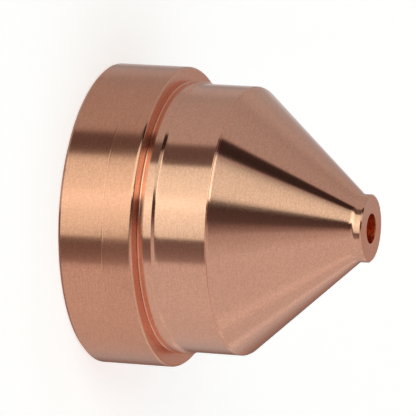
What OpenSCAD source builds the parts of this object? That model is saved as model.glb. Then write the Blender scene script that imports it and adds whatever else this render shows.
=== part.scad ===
// Plasma cutting nozzle, turned from one bar of copper.
// The nozzle stands on the back face of its flange with the orifice pointing up, along +Z.
// Everything is one profile turned about Z: r counts from the axis and z from the back face.

/* [Flange] */
// Outside diameter of the flange
flange_d = 28; // [27:0.5:36]
// Width of the flange along the axis
flange_w = 7.3; // [4:0.1:8]
// Chamfer on the back rim of the flange
flange_back_chamfer = 0.3; // [0.1:0.05:0.6]
// Rounding on the front rim of the flange
flange_front_radius = 0.3; // [0.1:0.05:0.4]

/* [Collar at the foot of the flange] */
// Width of the collar along the axis, from the front of the flange
collar_w = 1.2; // [0.6:0.1:3]
// Fillet between the front face of the flange and the collar
foot_fillet = 0.2; // [0.1:0.05:0.4]
// Height of the step from the collar down to the body
step_depth = 0.15; // [0.1:0.05:0.4]
// Angle between the side of the step and the axis
step_angle = 45; // [35:1:55]
// Fillet at the foot of the step
step_fillet = 0.2; // [0.05:0.05:0.3]

/* [Body] */
// Diameter of the straight body in front of the collar
body_d = 24.9; // [24:0.1:26]
// Straight length of collar and body, from the front of the flange to the cone
body_l = 6.6; // [4:0.1:12]
// Chamfer where the body meets the cone
body_front_chamfer = 0.1; // [0.05:0.05:0.3]

/* [Cone and tip] */
// Angle between the side of the cone and the axis
cone_angle = 41.3; // [38:0.1:45]
// Diameter of the short cylinder at the tip
tip_d = 6.3; // [5.5:0.1:7.5]
// Length of the tip cylinder, from where the cone would meet it
tip_l = 1; // [0.6:0.1:2]
// Fillet between the cone and the tip cylinder
tip_fillet = 0.7; // [0.3:0.1:0.9]
// Chamfer on the rim of the tip face
tip_chamfer = 0.12; // [0.05:0.01:0.2]

/* [Inside] */
// Diameter of the counterbore that takes the swirl ring
counterbore_d = 20; // [18:0.5:21]
// Depth of the counterbore from the back face
counterbore_depth = 9; // [5:0.5:10]
// Chamfer at the mouth of the counterbore
mouth_chamfer = 0.5; // [0.2:0.1:1]
// Fillet at the foot of the counterbore
counterbore_fillet = 0.3; // [0.1:0.1:0.6]
// Diameter of the chamber in front of the electrode
chamber_d = 12.5; // [10:0.5:15]
// Chamfer where the floor of the counterbore meets the chamber
chamber_chamfer = 0.3; // [0.1:0.1:0.6]
// Angle between the axis and the funnel that leads into the orifice
funnel_angle = 45; // [40:1:55]
// Blend between the chamber and the funnel
funnel_radius = 1; // [0.4:0.1:1.5]
// Diameter of the orifice
orifice_d = 2.8; // [1:0.1:3.6]
// Length of the orifice, back from the tip face
orifice_l = 5.2; // [3:0.1:7]

/* [Hidden] */
// Fineness of the turned surfaces
$fn = 180;
// Length by which a cutting profile runs past the surface that it opens
past = 1;

flange_r = flange_d / 2;
body_r = body_d / 2;
collar_r = body_r + step_depth;
tip_r = tip_d / 2;
counterbore_r = counterbore_d / 2;
chamber_r = chamber_d / 2;
orifice_r = orifice_d / 2;

// Heights along the outside, from the back face up
collar_end = flange_w + collar_w;
step_end = collar_end + step_depth / tan(step_angle);
cone_start = flange_w + body_l;
cone_end = cone_start + (body_r - tip_r) / tan(cone_angle);
overall_l = cone_end + tip_l;

// Heights along the inside
funnel_end = overall_l - orifice_l;
funnel_start = funnel_end - (chamber_r - orifice_r) / tan(funnel_angle);

// The sliver between a corner and the arc that blends its two sides.
// Taken away from the metal it leaves a rounding, and taken away from a cut it leaves a fillet.
// One side of the corner at [r, z] runs along Z and the other leaves it at the given angle.
// dr and dz are 1 or -1: the arc lies on the dr side, and the second side runs towards dz.
module blend(r, z, radius, dr, dz, angle = 90) {
    run = radius * tan(angle / 2);
    translate([r, z])
        difference() {
            polygon([
                [0, 0],
                [0, -dz * run],
                [dr * radius, -dz * run],
                [dr * run * sin(angle), dz * run * cos(angle)],
            ]);
            translate([dr * radius, -dz * run])
                circle(r = radius);
        }
}

// Outline of the nozzle before it is bored: flange, collar, step, body, cone and tip.
// At each of its three fillets the polygon fills the corner out to the centre of the arc,
// and the circle that is then taken away leaves the arc.
module outside_profile() {
    foot_centre = [collar_r + foot_fillet, flange_w + foot_fillet];
    step_run = step_fillet * tan(step_angle / 2);
    step_centre = [body_r + step_fillet, step_end + step_run];
    tip_run = tip_fillet * tan(cone_angle / 2);
    tip_centre = [tip_r + tip_fillet, cone_end + tip_run];
    difference() {
        polygon([
            [0, 0],
            [flange_r - flange_back_chamfer, 0],
            [flange_r, flange_back_chamfer],
            [flange_r, flange_w],
            [foot_centre[0], flange_w],
            foot_centre,
            [collar_r, foot_centre[1]],
            [collar_r, collar_end],
            [body_r + step_run * sin(step_angle), step_end - step_run * cos(step_angle)],
            step_centre,
            [body_r, step_centre[1]],
            [body_r, cone_start - body_front_chamfer],
            [body_r - body_front_chamfer, cone_start + body_front_chamfer / tan(cone_angle)],
            [tip_r + tip_run * sin(cone_angle), cone_end - tip_run * cos(cone_angle)],
            tip_centre,
            [tip_r, tip_centre[1]],
            [tip_r, overall_l - tip_chamfer],
            [tip_r - tip_chamfer, overall_l],
            [0, overall_l],
        ]);
        blend(flange_r, flange_w, flange_front_radius, -1, 1);
        translate(foot_centre)
            circle(r = foot_fillet);
        translate(step_centre)
            circle(r = step_fillet);
        translate(tip_centre)
            circle(r = tip_fillet);
    }
}

// Outline of what is bored out: counterbore, chamber, funnel and orifice.
module inside_profile() {
    difference() {
        polygon([
            [0, -past],
            [counterbore_r + mouth_chamfer + past, -past],
            [counterbore_r, mouth_chamfer],
            [counterbore_r, counterbore_depth],
            [chamber_r + chamber_chamfer, counterbore_depth],
            [chamber_r, counterbore_depth + chamber_chamfer],
            [chamber_r, funnel_start],
            [orifice_r, funnel_end],
            [orifice_r, overall_l + past],
            [0, overall_l + past],
        ]);
        blend(counterbore_r, counterbore_depth, counterbore_fillet, -1, 1);
        blend(chamber_r, funnel_start, funnel_radius, -1, 1, funnel_angle);
    }
}

module nozzle() {
    color("peru")
        rotate_extrude()
            difference() {
                outside_profile();
                inside_profile();
            }
}

nozzle();
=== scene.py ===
"""Plasma cutting nozzle, turned from one bar of copper, on a plain pale floor.

It stands on the back face of its flange with the orifice up, along +Z, in the frame of the CAD model.
Lengths are in metres and angles in radians, unless a name ends in _deg.
Azimuths round the axis start at the side that faces the camera, -Y, and grow towards -X.
"""

import math
from typing import NamedTuple

import bpy
import numpy as np
from bpy.props import FloatProperty, FloatVectorProperty, IntProperty, PointerProperty
from mathutils import Matrix, Vector


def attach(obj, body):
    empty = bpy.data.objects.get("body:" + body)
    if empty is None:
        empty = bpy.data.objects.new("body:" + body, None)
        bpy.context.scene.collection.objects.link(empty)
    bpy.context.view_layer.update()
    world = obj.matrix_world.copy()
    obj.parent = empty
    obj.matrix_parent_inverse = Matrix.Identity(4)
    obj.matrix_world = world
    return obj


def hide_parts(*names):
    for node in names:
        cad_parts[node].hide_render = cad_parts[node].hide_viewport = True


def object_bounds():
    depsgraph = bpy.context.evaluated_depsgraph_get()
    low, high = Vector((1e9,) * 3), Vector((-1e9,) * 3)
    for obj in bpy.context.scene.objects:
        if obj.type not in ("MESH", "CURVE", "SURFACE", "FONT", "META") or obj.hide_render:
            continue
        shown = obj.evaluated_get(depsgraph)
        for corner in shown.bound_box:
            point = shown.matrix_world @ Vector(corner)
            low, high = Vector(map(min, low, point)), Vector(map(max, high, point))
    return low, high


bl_info = {
    "name": "Plasma Cutting Nozzle",
    "version": (1, 0, 0),
    "blender": (4, 5, 0),
    "location": "3D View > Sidebar > Nozzle",
    "description": "Builds a turned copper nozzle with its finish, and a plain studio round it",
    "category": "Add Mesh",
}

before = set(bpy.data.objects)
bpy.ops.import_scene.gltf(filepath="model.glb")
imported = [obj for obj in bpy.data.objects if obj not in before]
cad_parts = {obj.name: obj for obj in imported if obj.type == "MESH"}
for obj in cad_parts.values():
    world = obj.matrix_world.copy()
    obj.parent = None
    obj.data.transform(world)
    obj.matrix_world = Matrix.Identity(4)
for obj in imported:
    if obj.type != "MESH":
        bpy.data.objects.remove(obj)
CAD_LOW, CAD_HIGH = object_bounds()
MM = 0.001

# Edges of the profile that are too small for anyone to set
BACK_CHAMFER = 0.3 * MM
RIM_RADIUS = 0.25 * MM
FOOT_FILLET = 0.15 * MM
STEP_FILLET = 0.15 * MM
STEP_ANGLE_DEG = 45
BODY_CHAMFER = 0.08 * MM
EDGE_GROOVE_HALF = 0.06 * MM
EDGE_GROOVE_DEPTH = 0.035 * MM
TIP_CHAMFER = 0.12 * MM
MOUTH_CHAMFER = 0.5 * MM
COUNTERBORE_FILLET = 0.3 * MM
CHAMBER_CHAMFER = 0.3 * MM
FUNNEL_BLEND = 1.0 * MM
WITNESS_HALF = 0.04 * MM
WITNESS_DEPTH = 0.005 * MM

# Points of the outline that lie closer than this are one point
SAME_POINT = 0.0001 * MM
# Neighbouring faces that turn by more than this meet in a sharp edge
SHARP_DEG = 12.5


class Dent(NamedTuple):
    """A small knock: where its centre lies, which way it was pushed, and its size."""

    azimuth_deg: float
    r: float
    z: float
    push_r: float
    push_z: float
    length: float
    width: float
    depth: float


def srgb(code):
    """Linear colour of an sRGB hex code such as F0C8A8, by the sRGB curve, with an alpha of 1."""
    parts = [int(code[k:k + 2], 16) / 255 for k in (0, 2, 4)]
    return tuple(c / 12.92 if c <= 0.04045 else ((c + 0.055) / 1.055) ** 2.4 for c in parts) + (1.0,)


def length_property(name, description, default):
    """A length that the user can set, in metres."""
    return FloatProperty(
        name=name, description=description, default=default, min=0.0,
        precision=5, subtype="DISTANCE", unit="LENGTH",
    )


def angle_property(name, description, degrees):
    """An angle that the user can set, given in degrees and kept in radians."""
    return FloatProperty(
        name=name, description=description, default=math.radians(degrees), subtype="ANGLE", unit="ROTATION"
    )


def colour_property(name, description, code):
    """A colour that the user can set, given as sRGB hex."""
    return FloatVectorProperty(
        name=name, description=description, default=srgb(code), size=4, min=0.0, max=1.0, subtype="COLOR"
    )


def share_property(name, description, default):
    """A share from 0 to 1 that the user can set."""
    return FloatProperty(
        name=name, description=description, default=default, min=0.0, max=1.0, subtype="FACTOR"
    )


class NozzleSizes(bpy.types.PropertyGroup):
    """Sizes of the turned profile. The flange's diameter and the height come from the CAD model."""

    flange_diameter: length_property("Flange diameter", "Outside diameter of the flange", 2 * CAD_HIGH.x)
    flange_width: length_property("Flange width", "Width of the flange along the axis", 7.19 * MM)
    witness_height: length_property(
        "Witness line", "Height of the fine line between two passes of the tool on the flange", 4.35 * MM
    )
    undercut_width: length_property("Undercut width", "Undercut at the foot of the flange", 0.65 * MM)
    undercut_depth: length_property("Undercut depth", "Depth of the undercut below the collar", 0.25 * MM)
    collar_width: length_property("Collar width", "Undercut and collar together, along the axis", 1.4 * MM)
    step_depth: length_property("Step depth", "Height of the step from collar down to body", 0.22 * MM)
    body_diameter: length_property("Body diameter", "Diameter of the straight body", 25.0 * MM)
    body_length: length_property("Body length", "From the front of the flange to the cone", 6.71 * MM)
    cone_angle: angle_property("Cone angle", "Angle between the side of the cone and the axis", 41.3)
    tip_diameter: length_property("Tip diameter", "Diameter of the short cylinder at the tip", 6.3 * MM)
    tip_fillet: length_property("Tip fillet", "Fillet between the cone and the tip cylinder", 0.7 * MM)
    height: length_property("Height", "From the back face to the tip face", CAD_HIGH.z)
    counterbore_diameter: length_property("Counterbore diameter", "Bore for the swirl ring", 20.0 * MM)
    counterbore_depth: length_property("Counterbore depth", "Its depth from the back face", 9.0 * MM)
    chamber_diameter: length_property("Chamber diameter", "Room for the electrode's front", 12.5 * MM)
    funnel_angle: angle_property("Funnel angle", "Angle between the axis and the funnel", 45.0)
    orifice_diameter: length_property("Orifice diameter", "Diameter of the drilled orifice", 2.8 * MM)
    orifice_length: length_property("Orifice length", "Its length, back from the tip face", 5.2 * MM)
    steps_round: IntProperty(
        name="Steps round", description="Faces in each ring round the axis", default=640, min=24
    )


class CopperFinish(bpy.types.PropertyGroup):
    """Colours and texture of the bare copper."""

    nose_colour: colour_property("Nose colour", "Copper of the body, the cone and the tip", "F4B69A")
    flange_colour: colour_property("Flange colour", "Copper of the flange, a little redder", "EAA789")
    bore_colour: colour_property("Bore colour", "Copper of the drilled orifice", "EE7A45")
    roughness: share_property("Roughness", "Roughness of the body, the cone and the tip", 0.13)
    flange_roughness: share_property("Flange roughness", "Added on the flange", 0.02)
    band_roughness: share_property("Front band roughness", "Added in front of the witness line", 0.03)
    face_roughness: share_property("Face roughness", "Added on the front face of the flange", 0.15)
    bore_roughness: share_property("Bore roughness", "Roughness of the drilled orifice", 0.3)
    anisotropy: share_property("Anisotropy", "How far the tool marks draw the gloss out across them", 0.92)
    mark_pitch: length_property("Mark pitch", "Spacing of the tool marks", 0.1 * MM)
    mark_height: length_property("Mark height", "Height of the tool marks", 0.0008 * MM)


class StudioSettings(bpy.types.PropertyGroup):
    """Where the camera stands, and the floor and walls of the plain studio."""

    elevation: angle_property("Camera elevation", "Angle of the camera above the floor", 19.447)
    roll: angle_property("Camera roll", "Turn about the line of sight, which lays the nozzle down", 93.509)
    view_angle: angle_property("View angle", "Angle that the camera's picture spans", 5.0)
    distance: length_property("Camera distance", "From the camera to the back face's centre", 446.21 * MM)
    left: length_property("Centre to the left", "Back face's centre left of the picture's", 8.993 * MM)
    below: length_property("Centre below", "Back face's centre below the picture's", 0.421 * MM)
    floor_radius: length_property("Floor radius", "Radius of the floor, at whose rim the wall stands", 1.2)
    wall_height: length_property("Wall height", "Height of the wall that ends the view at low angles", 0.8)
    floor_colour: colour_property("Floor colour", "Matt white of the floor and the wall", "F2F2F2")
    floor_glow: share_property("Floor glow", "Lifts the floor towards white where it is seen", 0.56)


# Shape of the nozzle

def arc(centre, radius, start_deg, end_deg, steps):
    """Points (r, z) on a circle: centre + radius (cos t, sin t), with t in even steps."""
    t = np.radians(np.linspace(start_deg, end_deg, steps + 1))
    return np.column_stack([centre[0] + radius * np.cos(t), centre[1] + radius * np.sin(t)])


def straight(start, end, steps):
    """Points (r, z) crowded at both ends: start + (end - start)(1 - cos t) / 2, with t in even steps."""
    share = (1 - np.cos(np.linspace(0, math.pi, steps + 1)))[:, None] / 2
    return np.asarray(start) + (np.asarray(end) - np.asarray(start)) * share


def flange_outline(s):
    """The flange in the (r, z) plane: back face, chamfer, wall with witness line, rounding and front."""
    r = s.flange_diameter / 2
    mouth_r = s.counterbore_diameter / 2 + MOUTH_CHAMFER
    foot_r = s.body_diameter / 2 + s.step_depth - s.undercut_depth + FOOT_FILLET
    rim_centre = (r - RIM_RADIUS, s.flange_width - RIM_RADIUS)
    return [
        straight((mouth_r, 0), (r - BACK_CHAMFER, 0), steps=5),
        straight((r - BACK_CHAMFER, 0), (r, BACK_CHAMFER), steps=3),
        straight((r, BACK_CHAMFER), (r, s.witness_height - WITNESS_HALF), steps=12),
        [(r - WITNESS_DEPTH, s.witness_height)],
        straight((r, s.witness_height + WITNESS_HALF), (r, rim_centre[1]), steps=8),
        arc(rim_centre, RIM_RADIUS, 0, 90, steps=8),
        straight((rim_centre[0], s.flange_width), (foot_r, s.flange_width), steps=9),
    ]


def body_outline(s):
    """The body in the (r, z) plane: undercut, collar, step, straight wall, and the groove at the cone."""
    r = s.body_diameter / 2
    collar_r = r + s.step_depth
    undercut_r = collar_r - s.undercut_depth
    undercut_end = s.flange_width + s.undercut_width
    foot_end = s.flange_width + FOOT_FILLET
    collar_end = s.flange_width + s.collar_width
    body_end = s.flange_width + s.body_length - BODY_CHAMFER
    slope = math.radians(STEP_ANGLE_DEG)
    step_end = collar_end + s.step_depth / math.tan(slope) + STEP_FILLET * math.tan(slope / 2)
    return [
        arc((undercut_r + FOOT_FILLET, foot_end), FOOT_FILLET, 270, 180, steps=8),
        straight((undercut_r, foot_end), (undercut_r, undercut_end), steps=4),
        straight((collar_r, undercut_end), (collar_r, collar_end), steps=4),
        arc((r + STEP_FILLET, step_end), STEP_FILLET, 180 + STEP_ANGLE_DEG, 180, steps=6),
        straight((r, step_end), (r, body_end - 2 * EDGE_GROOVE_HALF), steps=6),
        [(r - EDGE_GROOVE_DEPTH, body_end - EDGE_GROOVE_HALF), (r, body_end)],
    ]


def nose_outline(s):
    """The cone and the tip in the (r, z) plane, from the chamfer at the body to the rim of the orifice."""
    body_r = s.body_diameter / 2
    tip_r = s.tip_diameter / 2
    cone_start = s.flange_width + s.body_length
    cone_end = cone_start + (body_r - tip_r) / math.tan(s.cone_angle)
    fillet_end = cone_end + s.tip_fillet * math.tan(s.cone_angle / 2)
    chamfer_top = (body_r - BODY_CHAMFER, cone_start + BODY_CHAMFER / math.tan(s.cone_angle))
    fillet_start_deg = 180 + math.degrees(s.cone_angle)
    fillet = arc((tip_r + s.tip_fillet, fillet_end), s.tip_fillet, fillet_start_deg, 180, steps=8)
    return [
        straight(chamfer_top, fillet[0], steps=8),
        fillet,
        straight((tip_r, fillet_end), (tip_r, s.height - TIP_CHAMFER), steps=3),
        straight((tip_r - TIP_CHAMFER, s.height), (s.orifice_diameter / 2, s.height), steps=4),
    ]


def inside_outline(s):
    """The inside in the (r, z) plane: orifice, funnel, chamber and counterbore, down to its mouth."""
    bore_r = s.orifice_diameter / 2
    chamber_r = s.chamber_diameter / 2
    counterbore_r = s.counterbore_diameter / 2
    floor_z = s.counterbore_depth
    funnel_end = s.height - s.orifice_length
    funnel_start = funnel_end - (chamber_r - bore_r) / math.tan(s.funnel_angle)
    blend_start = funnel_start - FUNNEL_BLEND * math.tan(s.funnel_angle / 2)
    blend_centre = (chamber_r - FUNNEL_BLEND, blend_start)
    blend = arc(blend_centre, FUNNEL_BLEND, math.degrees(s.funnel_angle), 0, steps=6)
    foot_centre = (counterbore_r - COUNTERBORE_FILLET, floor_z - COUNTERBORE_FILLET)
    return [
        straight((bore_r, s.height), (bore_r, funnel_end), steps=10),
        straight((bore_r, funnel_end), blend[0], steps=4),
        blend,
        straight((chamber_r, blend_start), (chamber_r, floor_z + CHAMBER_CHAMFER), steps=3),
        straight((chamber_r + CHAMBER_CHAMFER, floor_z), (foot_centre[0], floor_z), steps=3),
        arc(foot_centre, COUNTERBORE_FILLET, 90, 0, steps=8),
        straight((counterbore_r, foot_centre[1]), (counterbore_r, MOUTH_CHAMFER), steps=4),
    ]


def nozzle_outline(s):
    """The whole closed outline, without the points that repeat where two stretches meet."""
    parts = flange_outline(s) + body_outline(s) + nose_outline(s) + inside_outline(s)
    points = np.vstack([np.asarray(part, float) for part in parts])
    gaps = np.linalg.norm(np.diff(points, axis=0), axis=1)
    return points[np.concatenate([[True], gaps > SAME_POINT])]


def nozzle_dents(s):
    """The three small knocks that the nozzle shows: on both rims of the flange and on its front face."""
    r = s.flange_diameter / 2
    w = s.flange_width
    return [
        Dent(
            azimuth_deg=9.2, r=r, z=w - 0.05 * MM, push_r=-0.7, push_z=-0.7,
            length=0.3 * MM, width=0.1 * MM, depth=0.03 * MM,
        ),
        Dent(
            azimuth_deg=15.2, r=r, z=0.2 * MM, push_r=-0.9, push_z=0.4,
            length=0.18 * MM, width=0.12 * MM, depth=0.05 * MM,
        ),
        Dent(
            azimuth_deg=79.2, r=13.56 * MM, z=w, push_r=0.0, push_z=-1.0,
            length=0.13 * MM, width=0.13 * MM, depth=0.08 * MM,
        ),
    ]


def turned_grid(outline, steps_round, dents):
    """Points (-r sin a, -r cos a, z), for a in even steps round the axis and (r, z) along the outline.

    Each dent first moves r and z by push * depth * exp(-(u / length)^2 - (v / width)^2), where u is the
    distance from its centre round the axis and v the distance in the plane of the outline.
    """
    azimuth = (np.arange(steps_round) * 2 * math.pi / steps_round)[:, None]
    shape = (steps_round, len(outline))
    r = np.broadcast_to(outline[:, 0], shape)
    z = np.broadcast_to(outline[:, 1], shape)
    for d in dents:
        turn = (azimuth - math.radians(d.azimuth_deg) + math.pi) % (2 * math.pi) - math.pi
        away = np.hypot(outline[:, 0] - d.r, outline[:, 1] - d.z)
        push = d.depth * np.exp(-((d.r * turn / d.length) ** 2) - (away / d.width) ** 2)
        r = r + push * d.push_r
        z = z + push * d.push_z
    return np.stack([-r * np.sin(azimuth), -r * np.cos(azimuth), z], axis=-1)


def closed_mesh(name, grid):
    """A mesh of four-sided faces on a grid of points that closes on itself both ways, faces outwards."""
    rows, columns = grid.shape[:2]
    corner = np.arange(rows * columns).reshape(rows, columns)
    along = np.roll(corner, -1, axis=1)
    faces = np.stack([corner, along, np.roll(along, -1, axis=0), np.roll(corner, -1, axis=0)], axis=-1)
    mesh = bpy.data.meshes.new(name)
    mesh.vertices.add(corner.size)
    mesh.vertices.foreach_set("co", grid.astype(np.float32).ravel())
    mesh.loops.add(faces.size)
    mesh.loops.foreach_set("vertex_index", faces.ravel())
    mesh.polygons.add(corner.size)
    mesh.polygons.foreach_set("loop_start", np.arange(corner.size) * 4)
    mesh.update(calc_edges=True)
    mesh.shade_smooth()
    mesh.set_sharp_from_angle(angle=math.radians(SHARP_DEG))
    return mesh


def link_object(name, data):
    """A new object in the scene, at the origin."""
    made = bpy.data.objects.new(name, data)
    bpy.context.scene.collection.objects.link(made)
    return made


# Nodes

def add(tree, kind, inputs=(), stops=(), **settings):
    """Adds a shader node of a kind, makes its settings, and fills its inputs by name or in order.

    An input takes a value, a socket, or a node, which stands for its first output. Only sockets that the
    settings leave in use count. Stops are the (value, grey) of a Color Ramp, for values from -1 to 1 that
    a Map Range node has carried to the ramp's 0 to 1.
    """
    node = tree.nodes.new("ShaderNode" + kind)
    for name, value in settings.items():
        setattr(node, name, value)
    sockets = [socket for socket in node.inputs if socket.enabled]
    if isinstance(inputs, dict):
        named = {socket.name: socket for socket in sockets}
        sockets = [named[name] for name in inputs]
        inputs = inputs.values()
    for socket, value in zip(sockets, inputs):
        if isinstance(value, bpy.types.Node):
            value = next(output for output in value.outputs if output.enabled)
        if isinstance(value, bpy.types.NodeSocket):
            tree.links.new(value, socket)
        else:
            socket.default_value = value
    if stops:
        elements = node.color_ramp.elements
        while len(elements) < len(stops):
            elements.new(1.0)
        for element, (value, grey) in zip(elements, stops):
            element.position = (value + 1.0) / 2.0
            element.color = (grey, grey, grey, 1.0)
    return node


def empty_tree(owner):
    """The node tree of a new material or world, emptied."""
    owner.use_nodes = True
    owner.node_tree.nodes.clear()
    return owner.node_tree


# Materials

# Nearly all values of a noise texture lie between these two
NOISE_LOW = 0.3
NOISE_HIGH = 0.7

# The real marks and grain are finer, and are drawn as coarse as they need to be to show: the marks at the
# pitch that is set, in streaks of about a millimetre round the body, and the grain at this size
STREAKS_PER_RADIUS = 12.0
GRAIN_SIZE = 0.2 * MM
# Broad soft patches of tone on the turned copper
CLOUD_SIZE = 6.0 * MM
# The broken surface that the drill leaves in the orifice
CHATTER_SIZE = 0.4 * MM
CHATTER_HEIGHT = 0.1 * MM

# Darkest and palest tone that the tool marks, the grain and the soft patches give the copper
MARK_TONES = (0.93, 1.06)
GRAIN_TONES = (0.90, 1.09)
CLOUD_TONES = (0.98, 1.02)

# How far the roughness rises and falls from mark to mark
MARK_ROUGHNESS = 0.02
# The quarter turn that draws the gloss out across marks that run round the axis
ACROSS_MARKS = 0.25
# How near to the front of the flange a point counts as on its face
FACE_MARGIN = 0.01 * MM


def tool_marks(tree, place, height, pitch):
    """Pattern of the tool marks: noise drawn out round the axis, which changes with each pitch along."""
    outwards = add(tree, "VectorMath", (place, (1.0, 1.0, 0.0)), operation="MULTIPLY")
    radius = add(tree, "VectorMath", (outwards,), operation="LENGTH")
    around = add(tree, "VectorMath", (outwards,), operation="NORMALIZE")
    # Height less radius changes along walls, cones and faces alike, and stays the same round the axis
    along = add(tree, "Math", (height, radius), operation="SUBTRACT")
    ring = add(tree, "Math", (along, pitch), operation="DIVIDE")
    streaks = (STREAKS_PER_RADIUS, STREAKS_PER_RADIUS, 0.0)
    spread = add(tree, "VectorMath", (around, streaks), operation="MULTIPLY")
    where = add(tree, "VectorMath", (spread, add(tree, "CombineXYZ", {"Z": ring})), operation="ADD")
    return add(tree, "TexNoise", {"Vector": where, "Scale": 1.0, "Detail": 3.0, "Roughness": 0.6})


def turned_copper(sizes, finish):
    """Bare copper turned on a lathe, which leaves fine marks round the axis.

    The eye gets crisp bands of light along the axis, drawn out across the marks, under fine rings and an
    even grain. The flange is redder and duller than the rest.
    """
    material = bpy.data.materials.new("Turned copper")
    tree = empty_tree(material)
    place = add(tree, "TexCoord").outputs["Object"]
    height = add(tree, "SeparateXYZ", (place,)).outputs["Z"]
    marks = tool_marks(tree, place, height, finish.mark_pitch)
    grain, cloud = (
        add(tree, "TexNoise", {"Vector": place, "Scale": 1 / size, "Detail": 2.0, "Roughness": roughness})
        for size, roughness in ((GRAIN_SIZE, 0.7), (CLOUD_SIZE, 0.5))
    )

    tone = 1.0
    for noise, (dark, pale) in ((marks, MARK_TONES), (grain, GRAIN_TONES), (cloud, CLOUD_TONES)):
        part = add(tree, "MapRange", (noise, NOISE_LOW, NOISE_HIGH, dark, pale))
        tone = add(tree, "Math", (tone, part), operation="MULTIPLY")
    on_flange = add(tree, "Math", (height, sizes.flange_width - RIM_RADIUS / 2), operation="LESS_THAN")
    base = add(tree, "Mix", (on_flange, finish.nose_colour[:], finish.flange_colour[:]), data_type="RGBA")
    colour = add(tree, "VectorMath", (base, tone), operation="SCALE")

    past_line = add(tree, "Math", (height, sizes.witness_height), operation="GREATER_THAN")
    front_band = add(tree, "Math", (on_flange, past_line), operation="MULTIPLY")
    on_face = add(tree, "Math", (height, sizes.flange_width, FACE_MARGIN), operation="COMPARE")
    dull = finish.roughness + MARK_ROUGHNESS
    glossy = finish.roughness - MARK_ROUGHNESS
    rough = add(tree, "MapRange", (marks, NOISE_LOW, NOISE_HIGH, dull, glossy))
    for where, extra in (
        (on_flange, finish.flange_roughness),
        (front_band, finish.band_roughness),
        (on_face, finish.face_roughness),
    ):
        rough = add(tree, "Math", (where, extra, rough), operation="MULTIPLY_ADD")

    shader = add(tree, "BsdfPrincipled", {
        "Base Color": colour,
        "Metallic": 1.0,
        "Roughness": rough,
        "Normal": add(tree, "Bump", {"Height": marks, "Strength": 1.0, "Distance": finish.mark_height}),
        "Anisotropic": finish.anisotropy,
        "Anisotropic Rotation": ACROSS_MARKS,
        "Tangent": add(tree, "Tangent", direction_type="RADIAL", axis="Z"),
    })
    add(tree, "OutputMaterial", {"Surface": shader})
    return material


def drilled_copper(finish):
    """Copper left by a drill and never polished: the eye gets a dark red hole with broken orange glints."""
    material = bpy.data.materials.new("Drilled copper")
    tree = empty_tree(material)
    place = add(tree, "TexCoord").outputs["Object"]
    chatter = add(
        tree, "TexNoise", {"Vector": place, "Scale": 1 / CHATTER_SIZE, "Detail": 4.0, "Roughness": 0.65}
    )
    shader = add(tree, "BsdfPrincipled", {
        "Base Color": finish.bore_colour[:],
        "Metallic": 1.0,
        "Roughness": finish.bore_roughness,
        "Normal": add(tree, "Bump", {"Height": chatter, "Strength": 1.0, "Distance": CHATTER_HEIGHT}),
    })
    add(tree, "OutputMaterial", {"Surface": shader})
    return material


def matt_white(settings):
    """Matt white paint of floor and wall: the eye gets an even near-white with the nozzle's soft shadow."""
    material = bpy.data.materials.new("Matt white paint")
    tree = empty_tree(material)
    paint = add(tree, "BsdfDiffuse", {"Color": settings.floor_colour[:]})
    path = add(tree, "LightPath")
    seen = 0.0
    for ray in ("Is Camera Ray", "Is Glossy Ray", "Is Transmission Ray"):
        seen = add(tree, "Math", (seen, path.outputs[ray]), operation="ADD")
    strength = add(tree, "Math", (seen, settings.floor_glow), operation="MULTIPLY")
    glow = add(tree, "Emission", {"Strength": strength})
    add(tree, "OutputMaterial", {"Surface": add(tree, "AddShader", (paint, glow))})
    return material


# Light

# A tall strip light stands between two dark cards in front of the nozzle. Its two edges are planes
# through the nozzle: a direction is between the cards where it lies on the inner side of both.
LOWER_EDGE = (-0.931, -0.183, -0.317)
UPPER_EDGE = (0.625, -0.734, 0.264)
# How far the lower edge is moved outwards, and how soft both edges are
LOWER_START = -0.011
EDGE_BLUR = 0.006

WHITE = (1.0, 1.0, 1.0, 1.0)
CARD_TINT = (1.0, 0.72, 0.68, 1.0)
CORNER_TINT = (1.0, 0.68, 0.56, 1.0)
STRIP_TINT = (1.0, 1.165, 1.08)
LAMP_PEAK = 1.34

# Heights of a direction, from -1 straight down to 1 straight up, between which the low part of the walls,
# and of the cards and the strip, turns into the high part
WALL_HEIGHTS = (-0.25, 0.1)
STRIP_HEIGHTS = (0.0, 0.6)

# How far the lower card reaches in past its edge, by height: it is widest at middle heights
LOWER_REACH = [(-0.3, 0.0), (0.2, 0.27), (0.45, 0.27), (0.8, 0.0)]

# Brightness of the walls by azimuth, in half turns. The low parts hold a dark corner at the back, warmed by
# light from the copper itself, and the high parts hold two soft windows.
LOW_WALLS = [
    (-1.0, 0.40), (-0.985, 0.26), (-0.92, 0.22), (-0.87, 0.32), (-0.82, 0.43), (-0.78, 0.49),
    (-0.72, 0.55), (-0.45, 0.62), (-0.2, 0.62), (0.35, 0.45), (0.6, 0.42), (0.69, 0.38),
    (0.76, 0.45), (0.83, 0.42), (0.86, 0.33), (0.89, 0.42), (0.93, 0.60), (1.0, 0.55),
]
HIGH_WALLS = [
    (-1.0, 0.46), (-0.93, 0.38), (-0.86, 0.40), (-0.80, 0.56), (-0.767, 0.72), (-0.735, 0.57),
    (-0.67, 0.60), (-0.64, 0.69), (-0.615, 0.71), (-0.58, 0.60), (-0.2, 0.60), (0.35, 0.44),
    (0.6, 0.42), (0.69, 0.38), (0.76, 0.45), (0.83, 0.41), (1.0, 0.46),
]
CORNER = [(-0.9, 1.0), (-0.87, 0.6), (-0.82, 0.0)]

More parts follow.
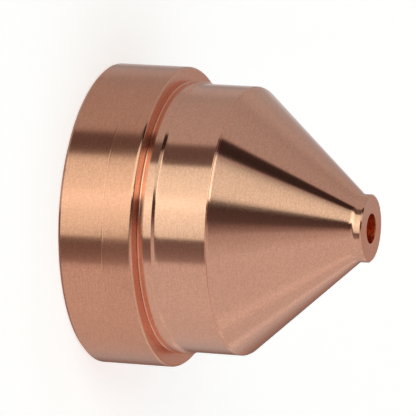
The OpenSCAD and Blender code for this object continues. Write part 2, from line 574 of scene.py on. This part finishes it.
# What each card leaves of the walls' brightness, by how far outwards from its edge a direction lies, which
# counts down from 0. Past its far side it leaves all, and high up the upper card has a gap at its edge.
LOWER_CARD_LOW = [(-0.335, 1.0), (-0.30, 0.38), (-0.02, 0.24)]
LOWER_CARD_HIGH = [
    (-0.6, 1.0), (-0.43, 0.80), (-0.36, 0.73), (-0.32, 0.49),
    (-0.27, 0.37), (-0.235, 0.17), (-0.15, 0.15), (-0.02, 0.11),
]
UPPER_CARD_LOW = [(-0.35, 1.0), (-0.285, 0.28), (-0.02, 0.28)]
UPPER_CARD_HIGH = [(-0.277, 1.0), (-0.237, 0.08), (-0.06, 0.08), (-0.03, 1.0)]

# Brightness of the strip by how far inwards from the upper edge a direction lies, brightest in the middle
STRIP_MIDDLE = [(0.25, 1.04), (0.39, 1.08), (0.43, 1.3), (0.53, 1.3), (0.58, 1.1), (0.76, 0.93)]
STRIP_LOW = [(0.0, 0.84), (0.1, 0.93)] + STRIP_MIDDLE
STRIP_HIGH = [(0.0, 0.58), (0.1, 0.90)] + STRIP_MIDDLE
# The lamp is brightest between the heights that the body and the cone mirror, which the small edges catch
STRIP_BY_HEIGHT = [(-0.28, 0.7), (-0.1, 1.0), (0.5, 1.0), (0.72, 0.62), (0.9, 0.6)]


def wall_light(tree, axes):
    """Light of the pale walls round the nozzle, tinted by the copper in the dark corner."""
    left = add(tree, "Math", (axes.outputs["X"], -1.0), operation="MULTIPLY")
    front = add(tree, "Math", (axes.outputs["Y"], -1.0), operation="MULTIPLY")
    azimuth = add(tree, "Math", (left, front), operation="ARCTAN2")
    place = add(tree, "MapRange", (azimuth, -math.pi, math.pi))
    low = add(tree, "ValToRGB", (place,), LOW_WALLS)
    high = add(tree, "ValToRGB", (place,), HIGH_WALLS)
    rising = add(tree, "MapRange", (axes.outputs["Z"], *WALL_HEIGHTS), interpolation_type="SMOOTHSTEP")
    walls = add(tree, "Mix", (rising, low, high), data_type="RGBA")
    in_corner = add(tree, "ValToRGB", (place,), CORNER)
    tint = add(tree, "Mix", (in_corner, WHITE, CORNER_TINT), data_type="RGBA")
    return add(tree, "VectorMath", (walls, tint), operation="MULTIPLY")


def card_shade(tree, lower, upper, inside_lower, inside_upper, overhead):
    """What both cards leave of the walls' light. A card ends at the other card's edge."""
    shades = []
    for distance, inside, low_stops, high_stops in (
        (lower, inside_upper, LOWER_CARD_LOW, LOWER_CARD_HIGH),
        (upper, inside_lower, UPPER_CARD_LOW, UPPER_CARD_HIGH),
    ):
        low = add(tree, "ValToRGB", (distance,), low_stops)
        high = add(tree, "ValToRGB", (distance,), high_stops)
        card = add(tree, "Mix", (overhead, low, high), data_type="RGBA")
        shades.append(add(tree, "Mix", (inside, WHITE, card), data_type="RGBA"))
    cards = add(tree, "VectorMath", shades, operation="MULTIPLY")
    # The darker a card, the more of what it shows has been coloured by the copper itself
    tint = add(tree, "Mix", (cards, CARD_TINT, WHITE), data_type="RGBA")
    return add(tree, "VectorMath", (cards, tint), operation="MULTIPLY")


def strip_light(tree, upper, height, overhead):
    """Light of the strip, a little cooler than white."""
    low = add(tree, "ValToRGB", (upper,), STRIP_LOW)
    high = add(tree, "ValToRGB", (upper,), STRIP_HIGH)
    strip = add(tree, "Mix", (overhead, low, high), data_type="RGBA")
    by_height = add(tree, "ValToRGB", (height,), STRIP_BY_HEIGHT)
    strip = add(tree, "VectorMath", (strip, by_height), operation="MULTIPLY")
    lamp = tuple(LAMP_PEAK * part for part in STRIP_TINT)
    return add(tree, "VectorMath", (strip, lamp), operation="MULTIPLY")


def studio_light():
    """World of the plain studio: a cool white strip light, two dark warm cards and pale walls."""
    world = bpy.data.worlds.new("Plain studio")
    tree = empty_tree(world)
    direction = add(tree, "TexCoord").outputs["Generated"]
    axes = add(tree, "SeparateXYZ", (direction,))
    height = add(tree, "MapRange", (axes.outputs["Z"], -1.0, 1.0))
    overhead = add(tree, "MapRange", (axes.outputs["Z"], *STRIP_HEIGHTS), interpolation_type="SMOOTHSTEP")

    upper = add(tree, "VectorMath", (direction, UPPER_EDGE), operation="DOT_PRODUCT")
    lower = add(tree, "VectorMath", (direction, LOWER_EDGE), operation="DOT_PRODUCT")
    reach = add(tree, "ValToRGB", (height,), LOWER_REACH)
    lower = add(tree, "Math", (lower, reach), operation="SUBTRACT")
    inside_upper, inside_lower = (
        add(tree, "MapRange", (side, start - EDGE_BLUR, start + EDGE_BLUR), interpolation_type="SMOOTHSTEP")
        for side, start in ((upper, 0.0), (lower, LOWER_START))
    )
    upper = add(tree, "MapRange", (upper, -1.0, 1.0))
    lower = add(tree, "MapRange", (lower, -1.0, 1.0))

    cards = card_shade(tree, lower, upper, inside_lower, inside_upper, overhead)
    surround = add(tree, "VectorMath", (wall_light(tree, axes), cards), operation="MULTIPLY")
    strip = strip_light(tree, upper, height, overhead)
    lit = add(tree, "Math", (inside_lower, inside_upper), operation="MULTIPLY")
    light = add(tree, "Background", {"Color": add(tree, "Mix", (lit, surround, strip), data_type="RGBA")})
    add(tree, "OutputWorld", {"Surface": light}, is_active_output=True)
    return world


# Floor, wall and camera

# Faces round the floor and the wall
STAGE_STEPS = 96
# Distances between which the camera sees
NEAREST_SEEN = 0.01
FARTHEST_SEEN = 10.0


def round_surface(name, outline):
    """An open surface turned from an outline: points (r cos a, r sin a, z), for a in even steps round."""
    azimuth = (np.arange(STAGE_STEPS) * 2 * math.pi / STAGE_STEPS)[:, None]
    r, z = np.asarray(outline, float).T
    heights = np.broadcast_to(z, (STAGE_STEPS, len(z)))
    grid = np.stack([r * np.cos(azimuth), r * np.sin(azimuth), heights], axis=-1)
    corner = np.arange(STAGE_STEPS * len(r)).reshape(STAGE_STEPS, len(r))
    following = np.roll(corner, -1, axis=0)
    faces = np.stack([corner[:, :-1], corner[:, 1:], following[:, 1:], following[:, :-1]], axis=-1)
    mesh = bpy.data.meshes.new(name)
    mesh.from_pydata(grid.reshape(-1, 3), [], faces.reshape(-1, 4))
    mesh.shade_smooth()
    return mesh


def studio_camera(settings):
    """Camera that looks down on the nozzle at the set elevation, rolled about its own line of sight."""
    e = settings.elevation
    back = Vector((0.0, -math.cos(e), math.sin(e)))
    level = Vector((1.0, 0.0, 0.0))
    steep = Vector((0.0, math.sin(e), math.cos(e)))
    right = level * math.cos(settings.roll) + steep * math.sin(settings.roll)
    up = steep * math.cos(settings.roll) - level * math.sin(settings.roll)
    place = right * settings.left + up * settings.below + back * settings.distance
    camera = link_object("camera", bpy.data.cameras.new("camera"))
    camera.matrix_world = Matrix.Translation(place) @ Matrix((right, up, back)).transposed().to_4x4()
    camera.data.angle = settings.view_angle
    camera.data.clip_start = NEAREST_SEEN
    camera.data.clip_end = FARTHEST_SEEN
    return camera


# Operators

class NOZZLE_OT_turned_part(bpy.types.Operator):
    """Builds the nozzle as one closed turned surface of bare copper"""

    bl_idname = "nozzle.turned_part"
    bl_label = "Turned part"

    def execute(self, context):
        sizes = context.scene.nozzle_sizes
        finish = context.scene.copper_finish
        outline = nozzle_outline(sizes)
        mesh = closed_mesh("turned_nozzle", turned_grid(outline, sizes.steps_round, nozzle_dents(sizes)))
        mesh.materials.append(turned_copper(sizes, finish))
        mesh.materials.append(drilled_copper(finish))
        on_bore = np.isclose(outline[:, 0], sizes.orifice_diameter / 2)
        in_bore = on_bore & np.roll(on_bore, -1)
        mesh.polygons.foreach_set("material_index", np.tile(in_bore, sizes.steps_round).astype(np.int32))
        nozzle = link_object("turned_nozzle", mesh)
        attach(nozzle, "root")
        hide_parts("nozzle")
        return {"FINISHED"}


class NOZZLE_OT_studio(bpy.types.Operator):
    """Builds the floor, the wall, the light and the camera"""

    bl_idname = "nozzle.studio"
    bl_label = "Studio"

    def execute(self, context):
        scene = context.scene
        settings = scene.studio_settings
        rim = (settings.floor_radius, 0.0)
        wall_top = (settings.floor_radius, settings.wall_height)
        floor = link_object("floor", round_surface("floor", [(0.0, 0.0), rim]))
        wall = link_object("wall", round_surface("wall", [rim, wall_top]))
        paint = matt_white(settings)
        for made in (floor, wall):
            made.data.materials.append(paint)
            made.visible_glossy = False
        wall.visible_diffuse = False
        wall.visible_shadow = False
        scene.world = studio_light()
        scene.view_settings.view_transform = "Standard"
        scene.camera = studio_camera(settings)
        return {"FINISHED"}


class NOZZLE_PT_sidebar(bpy.types.Panel):
    """Lists the sizes, the finish and the steps that build the nozzle"""

    bl_idname = "NOZZLE_PT_sidebar"
    bl_label = "Plasma Cutting Nozzle"
    bl_space_type = "VIEW_3D"
    bl_region_type = "UI"
    bl_category = "Nozzle"

    def draw(self, context):
        scene = context.scene
        for group in (scene.nozzle_sizes, scene.copper_finish, scene.studio_settings):
            box = self.layout.box()
            for name in group.bl_rna.properties.keys():
                if name not in ("rna_type", "name"):
                    box.prop(group, name)
        for operator in (NOZZLE_OT_turned_part, NOZZLE_OT_studio):
            self.layout.operator(operator.bl_idname)


GROUPS = {"nozzle_sizes": NozzleSizes, "copper_finish": CopperFinish, "studio_settings": StudioSettings}
CLASSES = (*GROUPS.values(), NOZZLE_OT_turned_part, NOZZLE_OT_studio, NOZZLE_PT_sidebar)


def register():
    """Registers the classes and gives the scene its three groups of settings."""
    for cls in CLASSES:
        bpy.utils.register_class(cls)
    for name, group in GROUPS.items():
        setattr(bpy.types.Scene, name, PointerProperty(type=group))


def unregister():
    """Takes the settings and the classes away again."""
    for name in GROUPS:
        delattr(bpy.types.Scene, name)
    for cls in reversed(CLASSES):
        bpy.utils.unregister_class(cls)


def main():
    register()
    bpy.ops.nozzle.turned_part()
    bpy.ops.nozzle.studio()


if __name__ == "__main__":
    main()
